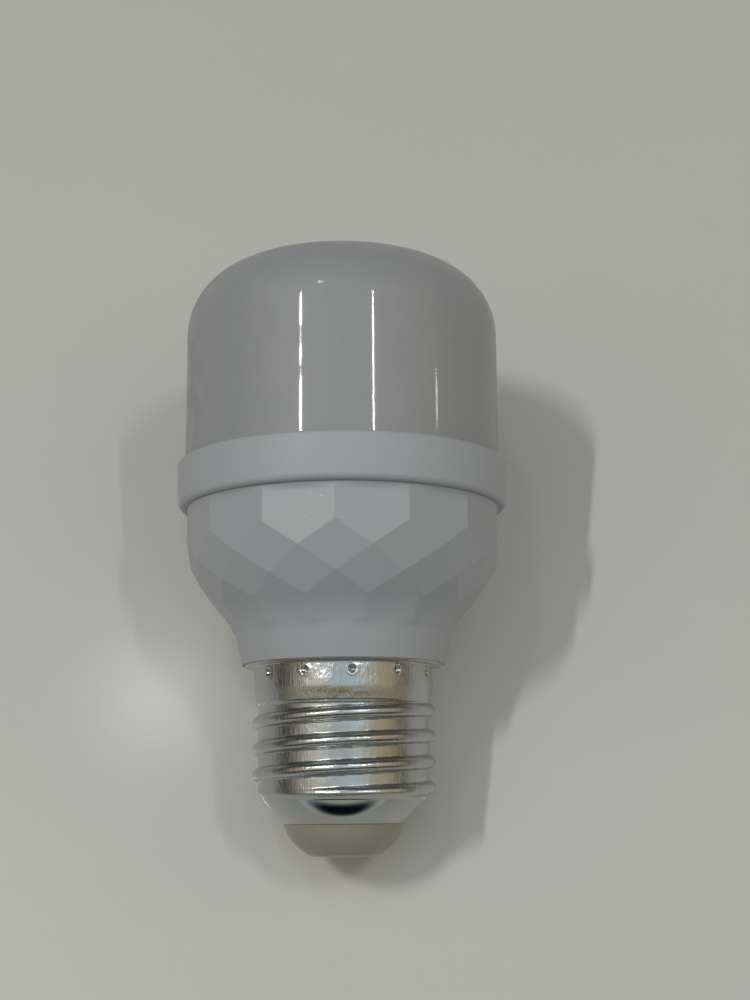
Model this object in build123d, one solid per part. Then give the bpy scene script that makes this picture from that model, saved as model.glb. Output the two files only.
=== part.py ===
from build123d import *
import os
from math import atan2, cos, pi, radians, sin, sqrt

# Smart light bulb: an opal diffuser on a faceted plastic housing with a rolled E27 screw cap.
# Millimetres. The origin is the centre of the centre contact's flat bottom face, and +Z runs
# up the axis, through the cap to the dome. Angles round the axis are counted from -Y towards +X.

# ---- Driving dimensions: screw cap --------------------------------------------------------------
PITCH = 3.629  # E27 thread
CREST_R = 13.1
ROOT_R = 12.2
CREST_HEIGHT_AT_X = 9.384  # a crest's height on the +X side
RIDGE_HALF_WIDTH = 1.05  # at its foot, which is sunk into the root
RIDGE_SINK = 0.14
THREAD_LOW_Z = 8.55  # middle of the ridge where it starts
THREAD_HIGH_Z = 20.9
SHELL_WALL = 0.3
SHELL_BOTTOM = (8.72, 4.5)  # radius, height
SHELL_CONE_MIDDLE = (10.46, 6.16)
SHELL_CONE_TOP = (11.85, 8.04)
ROOT_START_Z = 8.5
SKIRT_R = 12.8
SKIRT_LOW_Z = 21.3
ROOT_END_Z = 20.7
FLANGE_R = 14.15  # thin lip that the housing's neck sits on
FLANGE_T = 0.3
STAKES = 12  # dimples punched through the skirt into the spigot
STAKE_Z = 25.3
STAKE_BALL_R = 1.2
STAKE_DEPTH = 0.45
STAKE_PHASE = 8.0  # degrees

# ---- Driving dimensions: contact and insulator --------------------------------------------------
CONTACT_R = 5.0
CONTACT_H = 0.9
CONTACT_CHAMFER = 0.2
SHANK_R = 1.25
SHANK_TOP = 5.0
SHANK_FLARE_R = 2.1
SHANK_FLARE_H = 0.35
LEAD_BORE_R = 0.6
LEAD_BORE_BOTTOM = 1.6
INSULATOR_BOTTOM = 0.3
INSULATOR_FLOOR_TOP = 4.1
INSULATOR_TOP = 9.3

# ---- Driving dimensions: housing ----------------------------------------------------------------
FACETS = 14
TOP_Z = 49.4  # shoulder under the collar
ROW1_R, ROW1_Z = 22.85, 44.4  # corners on the facet edges
ROW2_R, ROW2_Z = 22.35, 41.0  # corners half a facet round
ROW3_Z = 37.8
ROW4_Z = 35.0
FOOT_R, FOOT_Z = 15.3, 30.8  # the foot's lower corners, just inside the neck
NECK_RIM_R, NECK_RIM_Z = 14.65, 26.8
NECK_MIDDLE = (15.3, 29.9)
NECK_TOP = (15.7, 32.0)
RIM_R = 21.95  # plain rim that carries the collar
RIM_TOP = 51.9
SNAP_R = 22.3
SNAP_Z = (50.1, 50.7)
CAVITY = [(11.0, 27.2), (13.1, 28.6), (13.5, 31.6), (15.9, 35.0), (18.3, 37.8), (20.4, 41.3)]
SPIGOT_R = 12.42
SPIGOT_THREAD_R = 11.55
SPIGOT_STEP = (21.5, 22.1)
SPIGOT_BOTTOM = 14.0
RAIL_GAP = 0.15
RAIL_T = 1.0

# ---- Driving dimensions: collar and diffuser ----------------------------------------------------
COLLAR_LOW_R = 24.0
COLLAR_HIGH_R = 24.25
COLLAR_TOP = 56.0
COLLAR_LOW_ROUND = 0.8
COLLAR_HIGH_ROUND = 1.1
COLLAR_BORE_R = 22.05
LEDGE_Z = 52.0
DIFFUSER_R = 23.1
DIFFUSER_WALL = 1.3
SEAL_T = 0.3
CORNER_Z = 75.6  # where the dome's wall starts to turn in
CORNER_R = 10.25
CROWN_R = 61.25

# ---- Driving dimensions: light engine -----------------------------------------------------------
PLATE_T = 1.0
PLATE_Z = 48.3
CUP_R = 20.2
CUP_WALL = 0.8
CUP_BOTTOM = 41.5
PAD_T = 0.2
LED_BOARD_R = 19.6
LED_BOARD_T = 1.0
LED_RING_R = 15.5
LED_PLACES = 18
LED_SIZE = (3.5, 2.8, 0.7)  # round the ring, radial, high
LED_LENS_D = 2.2
COLOUR_RING_R = 11.3
COLOUR_ANGLES = (0, 60, 120, 240, 300)
COLOUR_SIZE = (5.0, 5.0, 1.4)
SCREW_PLACES = (1, 7, 13)  # of the ring's places
SCREW_R = 1.25
SCREW_HEAD_R = 2.1
SCREW_HEAD_H = 1.4
SCREW_LENGTH = 3.8
HOLE_CLEARANCE = 0.06

# ---- Driving dimensions: electronics ------------------------------------------------------------
BOARD_T = 1.0
BOARD_OUTLINE = [(9.5, 13.5), (9.5, 28.5), (12.5, 31.5), (17.0, 38.5), (17.0, 46.5)]  # +X half
CORE_Y = (-7.5, -2.5)  # front to back of the transformer's core
RADIO_T = 0.8
RADIO_Y = 8.0
RADIO_X = (-5.0, 7.0)
RADIO_Z = (37.5, 59.0)
PIN_X = (-2.54, 0.0, 2.54)
PIN_R = 0.35
PIN_Z = (43.0, 53.0)
LIVE_LEAD_R = 0.5
NEUTRAL_LEAD_R = 0.4

HALF_STEP = pi / FACETS
FLAT = cos(HALF_STEP)  # a facet's middle is this much nearer the axis than its corners
STEP_ANGLE = 360 / FACETS

# The facets are flat, so the lower rows' radii follow from the two upper rows.
DIAMOND_SLOPE = (ROW1_R - ROW2_R * FLAT) / (ROW1_Z - ROW2_Z)
ROW3_R = ROW1_R - DIAMOND_SLOPE * (ROW1_Z - ROW3_Z)
LOWER_SLOPE = (ROW2_R - ROW3_R * FLAT) / (ROW2_Z - ROW3_Z)
ROW4_R = ROW2_R - LOWER_SLOPE * (ROW2_Z - ROW4_Z)
TOP_R = (ROW1_R * FLAT - (ROW2_R - ROW1_R * FLAT) / (ROW1_Z - ROW2_Z) * (TOP_Z - ROW1_Z)) / FLAT

BOARD_Z = PLATE_Z + PLATE_T + PAD_T
LED_Z = BOARD_Z + LED_BOARD_T
DIFFUSER_Z = LEDGE_Z + SEAL_T


# ---- Helpers ------------------------------------------------------------------------------------
def turned(*edges):
    """A solid of revolution about Z from the edges of a closed (radius, height) outline."""
    outline = edges[0]
    for edge in edges[1:]:
        outline += edge
    return revolve(make_face(Plane.XZ * outline), Axis.Z)


def turned_points(*points):
    """A solid of revolution about Z from the corners of its outline."""
    return turned(Polyline(*points, close=True))


def disc(radius, low, high):
    """A round plate on the axis between two heights."""
    return Pos(0, 0, low) * Cylinder(radius, high - low, align=(Align.CENTER, Align.CENTER, Align.MIN))


def block(x, y, z):
    """A box between two bounds on each axis."""
    size = [high - low for low, high in (x, y, z)]
    return Pos(x[0], y[0], z[0]) * Box(*size, align=(Align.MIN, Align.MIN, Align.MIN))


def upright(radius, x, y, low, high):
    """A cylinder that stands beside the axis."""
    return Pos(x, y, 0) * disc(radius, low, high)


def around(angle):
    """A turn that brings something on the -Y side to an angle round the axis."""
    return Rot(0, 0, angle)


def ring_place(place):
    """The angle of one of the light ring's places."""
    return (place + 0.5) * 360 / LED_PLACES


def joined(shapes):
    """Several solids fused into one shape."""
    result = shapes[0]
    for shape in shapes[1:]:
        result += shape
    return result


def save(name, shape, colour):
    """Writes one sub-part, named and coloured."""
    shape.label = name
    shape.color = Color(*colour)
    export_step(shape, f"parts/{name}.step")


# ---- Screw cap ----------------------------------------------------------------------------------
def thread_ridge(inset):
    """The knuckle thread's ridge on a right-hand helix, sunk a little into the root. For the hollow
    behind it everything moves in by a wall's thickness, the two ends too."""
    root = ROOT_R - inset
    low = THREAD_LOW_Z + inset
    height = THREAD_HIGH_Z - inset - low
    half_width = RIDGE_HALF_WIDTH - inset / 3
    start_turn = -360 * (CREST_HEIGHT_AT_X - low) / PITCH
    below = (root - RIDGE_SINK, -half_width)
    above = (root - RIDGE_SINK, half_width)
    flank = Line(above, below) + ThreePointArc(below, (CREST_R - inset, 0), above)
    profile = make_face(Plane.XZ * flank)
    ridge = sweep(profile, path=Helix(PITCH, height, root), is_frenet=True)
    return Pos(0, 0, low) * Rot(0, 0, start_turn) * ridge


def stake_balls(radius):
    """Balls of one radius at the staking dimples' centres."""
    centre_r = SKIRT_R + STAKE_BALL_R - STAKE_DEPTH
    balls = []
    for stake in range(STAKES):
        angle = STAKE_PHASE + stake * 360 / STAKES
        balls.append(around(angle) * Pos(0, -centre_r, STAKE_Z) * Sphere(radius))
    return balls


def shell_body(inset):
    """The shell's turned form, moved in by a wall's thickness for its hollow."""
    low = (SHELL_BOTTOM[0] - inset, SHELL_BOTTOM[1])
    middle = (SHELL_CONE_MIDDLE[0] - 0.75 * inset, SHELL_CONE_MIDDLE[1] + 0.65 * inset)
    high = (SHELL_CONE_TOP[0] - inset, SHELL_CONE_TOP[1] + 0.5 * inset)
    cone = ThreePointArc(low, middle, high)
    rest = Polyline(
        high,
        (ROOT_R - inset, ROOT_START_Z + 0.5 * inset),
        (ROOT_R - inset, ROOT_END_Z),
        (SKIRT_R - inset, SKIRT_LOW_Z),
        (SKIRT_R - inset, NECK_RIM_Z),
        (0, NECK_RIM_Z),
        (0, SHELL_BOTTOM[1]),
        low,
    )
    return turned(cone, rest)


def screw_shell():
    """The thin rolled cap: cone, thread and a skirt staked to the housing."""
    outside = shell_body(0) + thread_ridge(0) + disc(FLANGE_R, NECK_RIM_Z - FLANGE_T, NECK_RIM_Z)
    inside = shell_body(SHELL_WALL) + thread_ridge(SHELL_WALL)
    skirt_core = disc(SKIRT_R - SHELL_WALL / 2, SKIRT_LOW_Z, NECK_RIM_Z)
    bumps = [ball & skirt_core for ball in stake_balls(STAKE_BALL_R + SHELL_WALL)]
    shell = joined([outside - inside] + bumps)
    for ball in stake_balls(STAKE_BALL_R):
        shell -= ball
    return shell


def insulator():
    """The moulded ring between the shell and the centre contact."""
    gap = SHELL_WALL + 0.05
    low = (SHELL_BOTTOM[0] - gap, SHELL_BOTTOM[1])
    middle = (SHELL_CONE_MIDDLE[0] - 0.75 * gap, SHELL_CONE_MIDDLE[1] + 0.65 * gap)
    high = (SHELL_CONE_TOP[0] - gap, SHELL_CONE_TOP[1] + 0.5 * gap)
    bore = SHANK_R + 0.05
    recess = CONTACT_R + 0.05
    nose = ThreePointArc((5.15, INSULATOR_BOTTOM), (7.35, 2.1), (8.62, SHELL_BOTTOM[1]))
    seat = Polyline((8.62, SHELL_BOTTOM[1]), low)
    cone = ThreePointArc(low, middle, high)
    rest = Polyline(
        high,
        (high[0], INSULATOR_TOP),
        (high[0] - 1.6, INSULATOR_TOP),
        (8.0, INSULATOR_FLOOR_TOP + 1.6),
        (6.6, INSULATOR_FLOOR_TOP),
        (bore, INSULATOR_FLOOR_TOP),
        (bore, CONTACT_H),
        (recess, CONTACT_H),
        (recess, INSULATOR_BOTTOM),
        (5.15, INSULATOR_BOTTOM),
    )
    return turned(nose, seat, cone, rest)


def centre_contact():
    """The contact disc with a hollow shank flared over the insulator's floor."""
    flare_z = INSULATOR_FLOOR_TOP
    rivet = turned_points(
        (0, 0),
        (CONTACT_R - CONTACT_CHAMFER, 0),
        (CONTACT_R, CONTACT_CHAMFER),
        (CONTACT_R, CONTACT_H),
        (SHANK_R, CONTACT_H),
        (SHANK_R, flare_z),
        (SHANK_FLARE_R, flare_z),
        (SHANK_FLARE_R, flare_z + SHANK_FLARE_H),
        (SHANK_R, SHANK_TOP),
        (0, SHANK_TOP),
    )
    return rivet - disc(LEAD_BORE_R, LEAD_BORE_BOTTOM, SHANK_TOP)


# ---- Housing ------------------------------------------------------------------------------------
def corner(radius, height, step):
    """A facet corner, with its step counted in facet widths from the -Y side."""
    angle = radians(-90 + step * STEP_ANGLE)
    return Vector(radius * cos(angle), radius * sin(angle), height)


def facet(*corners):
    """One flat facet."""
    return Face(Wire.make_polygon(corners, close=True))


def faceted_body():
    """The closed faceted form: shields, two rows of diamonds, arrow heads and a tapered foot."""
    faces = []
    for k in range(FACETS):
        top = [corner(TOP_R, TOP_Z, k), corner(TOP_R, TOP_Z, k + 1)]
        row1 = [corner(ROW1_R, ROW1_Z, k), corner(ROW1_R, ROW1_Z, k + 1)]
        row2 = [corner(ROW2_R, ROW2_Z, k - 0.5), corner(ROW2_R, ROW2_Z, k + 0.5)]
        row3 = [corner(ROW3_R, ROW3_Z, k), corner(ROW3_R, ROW3_Z, k + 1)]
        row4 = [corner(ROW4_R, ROW4_Z, k - 0.5), corner(ROW4_R, ROW4_Z, k + 0.5)]
        foot = [corner(FOOT_R, FOOT_Z, k - 0.5), corner(FOOT_R, FOOT_Z, k + 0.5)]
        faces.append(facet(top[0], top[1], row1[1], row2[1], row1[0]))
        faces.append(facet(row1[0], row2[1], row3[0], row2[0]))
        faces.append(facet(row2[1], row3[1], row4[1], row3[0]))
        faces.append(facet(row3[0], row4[1], row4[0]))
        faces.append(facet(row4[0], row4[1], foot[1], foot[0]))
    faces.append(facet(*[corner(TOP_R, TOP_Z, k) for k in range(FACETS)]))
    faces.append(facet(*[corner(FOOT_R, FOOT_Z, k + 0.5) for k in range(FACETS)]))
    return Solid(Shell(faces))


def housing():
    """The faceted shell with its round neck, collar rim and the spigot that the cap is staked to."""
    neck = turned(
        ThreePointArc((NECK_RIM_R, NECK_RIM_Z), NECK_MIDDLE, NECK_TOP),
        Polyline(NECK_TOP, (0, NECK_TOP[1]), (0, NECK_RIM_Z), (NECK_RIM_R, NECK_RIM_Z)),
    )
    rim = turned_points(
        (0, TOP_Z - 1),
        (RIM_R, TOP_Z - 1),
        (RIM_R, SNAP_Z[0]),
        (SNAP_R, SNAP_Z[0]),
        (RIM_R, SNAP_Z[1] + 0.4),
        (RIM_R, RIM_TOP),
        (0, RIM_TOP),
    )
    spigot = turned_points(
        (0, SPIGOT_BOTTOM),
        (SPIGOT_THREAD_R - 0.5, SPIGOT_BOTTOM),
        (SPIGOT_THREAD_R, SPIGOT_BOTTOM + 0.8),
        (SPIGOT_THREAD_R, SPIGOT_STEP[0]),
        (SPIGOT_R, SPIGOT_STEP[1]),
        (SPIGOT_R, NECK_RIM_Z),
        (0, NECK_RIM_Z),
    )
    hollow = turned_points(
        (0, SPIGOT_BOTTOM - 1),
        (CAVITY[0][0], SPIGOT_BOTTOM - 1),
        *CAVITY,
        (CAVITY[-1][0], RIM_TOP + 1),
        (0, RIM_TOP + 1),
    )
    shell = joined([faceted_body(), neck, rim, spigot]) - hollow
    for ball in stake_balls(STAKE_BALL_R + SHELL_WALL + 0.06):
        shell -= ball
    slot_y = BOARD_T / 2 + RAIL_GAP
    edge_x = BOARD_OUTLINE[0][0] + RAIL_GAP
    for side in (-1, 1):
        for face in (-1, 1):
            x = sorted((side * (edge_x - 0.7), side * (CAVITY[0][0] + 0.2)))
            y = sorted((face * slot_y, face * (slot_y + RAIL_T)))
            shell += block(x, y, (SPIGOT_BOTTOM + 1, CAVITY[0][1]))
    groove_r = SPIGOT_THREAD_R - 2 * NEUTRAL_LEAD_R + 0.1
    shell -= block((-SPIGOT_THREAD_R - 1, -groove_r), (-1.55, -0.35), (SPIGOT_BOTTOM - 1, 19.0))
    return shell


# ---- Collar and diffuser ------------------------------------------------------------------------
def collar_ring():
    """The smooth trim ring that snaps over the housing's rim and grips the diffuser."""
    low_z = TOP_Z + COLLAR_LOW_ROUND
    high_z = COLLAR_TOP - COLLAR_HIGH_ROUND
    low_bend = COLLAR_LOW_ROUND * (1 - cos(pi / 4))
    high_bend = COLLAR_HIGH_ROUND * (1 - cos(pi / 4))
    lip = DIFFUSER_R + 0.05
    lower = ThreePointArc(
        (COLLAR_LOW_R - COLLAR_LOW_ROUND, TOP_Z),
        (COLLAR_LOW_R - low_bend, TOP_Z + low_bend),
        (COLLAR_LOW_R, low_z),
    )
    side = Line((COLLAR_LOW_R, low_z), (COLLAR_HIGH_R, high_z))
    upper = ThreePointArc(
        (COLLAR_HIGH_R, high_z),
        (COLLAR_HIGH_R - high_bend, COLLAR_TOP - high_bend),
        (COLLAR_HIGH_R - COLLAR_HIGH_ROUND, COLLAR_TOP),
    )
    inside = Polyline(
        (COLLAR_HIGH_R - COLLAR_HIGH_ROUND, COLLAR_TOP),
        (lip, COLLAR_TOP),
        (lip, LEDGE_Z),
        (COLLAR_BORE_R, LEDGE_Z),
        (COLLAR_BORE_R, SNAP_Z[1] + 0.5),
        (SNAP_R + 0.1, SNAP_Z[0] + 0.1),
        (SNAP_R + 0.1, SNAP_Z[0] - 0.1),
        (COLLAR_BORE_R, SNAP_Z[0] - 0.1),
        (COLLAR_BORE_R, TOP_Z),
        (COLLAR_LOW_R - COLLAR_LOW_ROUND, TOP_Z),
    )
    return turned(lower, side, upper, inside)


def dome_form(inset, low_z):
    """The dome's solid form: a straight wall, a rounded corner and a shallow crown."""
    corner_x = DIFFUSER_R - CORNER_R
    crown_drop = sqrt((CROWN_R - CORNER_R) ** 2 - corner_x**2)
    crown_z = CORNER_Z - crown_drop
    meet = atan2(crown_drop, corner_x)
    corner_r = CORNER_R - inset
    crown_r = CROWN_R - inset
    start = (DIFFUSER_R - inset, CORNER_Z)
    corner_mid = (corner_x + corner_r * cos(meet / 2), CORNER_Z + corner_r * sin(meet / 2))
    join = (corner_x + corner_r * cos(meet), CORNER_Z + corner_r * sin(meet))
    crown_angle = (meet + pi / 2) / 2
    crown_mid = (crown_r * cos(crown_angle), crown_z + crown_r * sin(crown_angle))
    top = (0, crown_z + crown_r)
    return turned(
        Line((DIFFUSER_R - inset, low_z), start),
        ThreePointArc(start, corner_mid, join),
        ThreePointArc(join, crown_mid, top),
        Polyline(top, (0, low_z), (DIFFUSER_R - inset, low_z)),
    )


def diffuser():
    """The opal dome, of one wall thickness."""
    return dome_form(0, DIFFUSER_Z) - dome_form(DIFFUSER_WALL, DIFFUSER_Z - 1)


def diffuser_seal():
    """The silicone bead between the diffuser's edge and the collar's ledge."""
    return disc(DIFFUSER_R, LEDGE_Z, DIFFUSER_Z) - disc(RIM_R + 0.1, LEDGE_Z - 1, DIFFUSER_Z + 1)


# ---- Light engine -------------------------------------------------------------------------------
def screw_holes(low, high):
    """Clearance holes for the board screws."""
    return [
        around(ring_place(place)) * upright(SCREW_R + HOLE_CLEARANCE, 0, -LED_RING_R, low, high)
        for place in SCREW_PLACES
    ]


def plate_slots(low, high):
    """Slots for the radio board and the header pins."""
    room = 0.5
    radio_x = (RADIO_X[0] - room, RADIO_X[1] + room)
    radio = block(radio_x, (RADIO_Y - room, RADIO_Y + RADIO_T + room), (low, high))
    pins_y = pin_centre_y()
    pins = block((PIN_X[0] - 1, PIN_X[-1] + 1), (pins_y - 1, pins_y + 1), (low, high))
    return [radio, pins]


def heatsink_cup():
    """The pressed aluminium cup, with a burred screw hole under each board screw."""
    top = PLATE_Z + PLATE_T
    cup = disc(CUP_R, CUP_BOTTOM, top) - disc(CUP_R - CUP_WALL, CUP_BOTTOM - 1, PLATE_Z)
    for place in SCREW_PLACES:
        cup += around(ring_place(place)) * upright(2.1, 0, -LED_RING_R, PLATE_Z - 1.5, PLATE_Z)
    for cut in screw_holes(PLATE_Z - 2, top + 1) + plate_slots(PLATE_Z - 2, top + 1):
        cup -= cut
    return cup


def thermal_pad():
    """The thin pad that carries the board's heat into the cup."""
    pad = disc(LED_BOARD_R - 0.6, BOARD_Z - PAD_T, BOARD_Z)
    for cut in screw_holes(BOARD_Z - 1, BOARD_Z + 1) + plate_slots(BOARD_Z - 1, BOARD_Z + 1):
        pad -= cut
    return pad


def led_board():
    """The round aluminium-core board."""
    board = disc(LED_BOARD_R, BOARD_Z, LED_Z)
    for cut in screw_holes(BOARD_Z - 1, LED_Z + 1) + plate_slots(BOARD_Z - 1, LED_Z + 1):
        board -= cut
    return board


def light_chip(size, lens_d):
    """One surface-mount light with its dished phosphor pocket, on the board's top."""
    body = Pos(0, 0, LED_Z) * Box(*size, align=(Align.CENTER, Align.CENTER, Align.MIN))
    return body - disc(lens_d / 2, LED_Z + size[2] - 0.15, LED_Z + size[2] + 1)


def ring_lights(turn):
    """Every other free place of the ring."""
    places = [place for place in range(LED_PLACES) if place not in SCREW_PLACES]
    chip = Pos(0, -LED_RING_R, 0) * light_chip(LED_SIZE, LED_LENS_D)
    return Compound([around(ring_place(place)) * chip for place in places[turn::2]])


def colour_lights():
    """The larger colour lights on an inner ring."""
    chip = light_chip(COLOUR_SIZE, COLOUR_SIZE[0] * 0.8)
    return Compound([around(angle) * Pos(0, -COLOUR_RING_R, 0) * chip for angle in COLOUR_ANGLES])


def board_screws():
    """Pan head screws with a cross recess."""
    head = turned_points(
        (0, LED_Z),
        (SCREW_HEAD_R, LED_Z),
        (SCREW_HEAD_R, LED_Z + 0.7 * SCREW_HEAD_H),
        (0.7 * SCREW_HEAD_R, LED_Z + SCREW_HEAD_H),
        (0, LED_Z + SCREW_HEAD_H),
    )
    screw = head + disc(SCREW_R, LED_Z - SCREW_LENGTH, LED_Z)
    recess_z = (LED_Z + 0.4 * SCREW_HEAD_H, LED_Z + SCREW_HEAD_H + 1)
    screw -= block((-1.2, 1.2), (-0.25, 0.25), recess_z)
    screw -= block((-0.25, 0.25), (-1.2, 1.2), recess_z)
    placed = Pos(0, -LED_RING_R, 0) * screw
    return Compound([around(ring_place(place)) * placed for place in SCREW_PLACES])


def pin_centre_y():
    """The header pins lie against the driver board's front."""
    return -BOARD_T / 2 - PIN_R - 0.01


def header_pins():
    """The pins that carry the driver's output up to the light board."""
    return Compound([upright(PIN_R, x, pin_centre_y(), *PIN_Z) for x in PIN_X])


def board_socket():
    """The socket on the light board that the pins push into."""
    y = pin_centre_y()
    socket = block((PIN_X[0] - 1.4, PIN_X[-1] + 1.4), (y - 1.5, y + 1.5), (LED_Z, LED_Z + 3.2))
    for x in PIN_X:
        socket -= upright(PIN_R + 0.04, x, y, LED_Z - 1, LED_Z + 4)
    return socket


# ---- Electronics --------------------------------------------------------------------------------
def driver_board():
    """The upright board that stands in the housing's rails."""
    outline = BOARD_OUTLINE + [(-x, z) for x, z in BOARD_OUTLINE[::-1]]
    face = make_face(Plane.XZ * Polyline(*outline, close=True))
    return extrude(face, amount=BOARD_T / 2, both=True)


def front(height):
    """Bounds in Y of something that stands on the driver board's front."""
    return (-BOARD_T / 2 - height, -BOARD_T / 2)


def back(height):
    """Bounds in Y of something that stands on the driver board's back."""
    return (BOARD_T / 2, BOARD_T / 2 + height)


def can_capacitor(radius, x, side, low, high):
    """A can with a rolled groove near its lower end and a rubber bung."""
    y = side * (BOARD_T / 2 + radius)
    can = upright(radius, x, y, low + 0.6, high)
    groove = upright(radius, x, y, low + 2.0, low + 2.6) - upright(radius - 0.35, x, y, low + 1, low + 4)
    bung = upright(radius * 0.8, x, y, low, low + 0.6)
    return fillet((can - groove).edges().group_by(Axis.Z)[-1], 0.4) + bung


def transformer_core():
    """A ferrite core with two windows either side of its middle leg."""
    core = block((-6.5, 6.5), CORE_Y, (31.0, 42.5))
    return core - block((-4.7, 4.7), (-20, 20), (33.0, 40.5)) + block((-1.6, 1.6), CORE_Y, (33.0, 40.5))


def transformer_winding():
    """The taped winding round the core's middle leg."""
    winding = block((-4.5, 4.5), front(9.0), (33.2, 40.3))
    winding = fillet(winding.edges().filter_by(Axis.Z), 1.2)
    return winding - block((-1.65, 1.65), (CORE_Y[0] - 0.05, CORE_Y[1] + 0.05), (33.0, 40.5))


def line_choke():
    """A drum core: two flanges, with the wire between them."""
    y = BOARD_T / 2 + 3.0
    flanges = upright(3.0, 4.5, y, 15.0, 16.0) + upright(3.0, 4.5, y, 21.5, 22.5)
    return flanges + upright(2.6, 4.5, y, 16.0, 21.5)


def surge_varistor():
    """A coated disc that stands on edge on two legs."""
    half, bevel, radius = 1.3, 0.6, 3.4
    coated = turned_points(
        (0, -half),
        (radius - bevel, -half),
        (radius, bevel - half),
        (radius, half - bevel),
        (radius - bevel, half),
        (0, half),
    )
    disc_y = -BOARD_T / 2 - 2.3
    legs = [upright(0.3, -5.4 + dx, disc_y + 0.2, 14.6, 18.5) for dx in (-1.8, 1.8)]
    return joined([Pos(-5.4, disc_y, 20.5) * Rot(90, 0, 0) * coated] + legs)


def fusible_resistor():
    """An axial resistor with its two leads bent to the board."""
    y = BOARD_T / 2 + 1.7
    body = fillet(upright(1.6, -6.0, y, 17.0, 25.0).edges(), 0.6)
    leads = upright(0.3, -6.0, y, 15.2, 17.3) + upright(0.3, -6.0, y, 24.7, 26.8)
    feet = [block((-6.3, -5.7), (BOARD_T / 2, y + 0.3), (z, z + 0.6)) for z in (15.0, 26.4)]
    return joined([body, leads] + feet)


def chip_package(x, y, z, width, height, legs, side):
    """A moulded chip, with legs down both of its long sides, on the board's front or back."""
    low, high = y
    foot_y = (high - 0.25, high) if side < 0 else (low, low + 0.25)
    pieces = [block((x - width / 2, x + width / 2), y, (z, z + height))]
    for leg in range(legs):
        leg_z = z + (leg + 0.5) * height / legs
        pieces.append(block((x - width / 2 - 1.0, x + width / 2 + 1.0), foot_y, (leg_z - 0.2, leg_z + 0.2)))
    return joined(pieces)


def radio_board():
    """The upright radio board that reaches past the metal plate into the diffuser."""
    return block(RADIO_X, (RADIO_Y, RADIO_Y + RADIO_T), RADIO_Z)


def radio_shield():
    """The pressed metal can over the radio chip."""
    can = block((-3.5, 5.5), (RADIO_Y + RADIO_T, RADIO_Y + RADIO_T + 1.8), (38.5, 46.5))
    hollow = block((-3.3, 5.3), (RADIO_Y + RADIO_T - 1, RADIO_Y + RADIO_T + 1.6), (38.7, 46.3))
    return can - hollow


def radio_chip():
    """The radio chip under the can."""
    return block((-1.5, 3.5), (RADIO_Y + RADIO_T, RADIO_Y + RADIO_T + 0.9), (40.0, 45.0))


def antenna():
    """The folded copper antenna at the top of the radio board."""
    width = 0.5
    y = (RADIO_Y + RADIO_T, RADIO_Y + RADIO_T + 0.05)
    rungs = [block((-4.0 + i * 1.6, -4.0 + i * 1.6 + width), y, (54.0, 58.0)) for i in range(7)]
    for i in range(6):
        z = (57.5, 58.0) if i % 2 == 0 else (54.0, 54.5)
        rungs.append(block((-4.0 + i * 1.6, -4.0 + (i + 1) * 1.6 + width), y, z))
    rungs.append(block((-4.0, -4.0 + width), y, (47.5, 54.0)))
    return joined(rungs)


def radio_pins():
    """Right-angled pins that tie the radio board to the driver board."""
    pins = [block((x - 0.3, x + 0.3), (BOARD_T / 2, RADIO_Y), (38.2, 38.8)) for x in (-2, 0, 2, 4)]
    return Compound(pins)


def lead(radius, points, radii):
    """A round wire along straight runs with rounded bends."""
    path = FilletPolyline(*points, radius=radii)
    section = Plane(path @ 0, z_dir=path % 0) * Circle(radius)
    return sweep(section, path=path)


def live_lead():
    """The wire from the driver board to the centre contact's shank."""
    y = -BOARD_T / 2 - LIVE_LEAD_R - 0.02
    route = [(0, 0, 2.0), (0, 0, 8.0), (1.8, y, 11.5), (1.8, y, 14.6)]
    return lead(LIVE_LEAD_R, route, [2.5, 2.5])


def neutral_lead():
    """The wire that turns up round the spigot and is pinched against the shell."""
    y = -BOARD_T / 2 - NEUTRAL_LEAD_R - 0.02
    reach = SPIGOT_THREAD_R - NEUTRAL_LEAD_R + 0.15
    route = [(-2.2, y, 14.4), (-2.2, y, 12.2), (-reach, y, 12.2), (-reach, y, 18.4)]
    return lead(NEUTRAL_LEAD_R, route, [1.5, 1.5])


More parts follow.
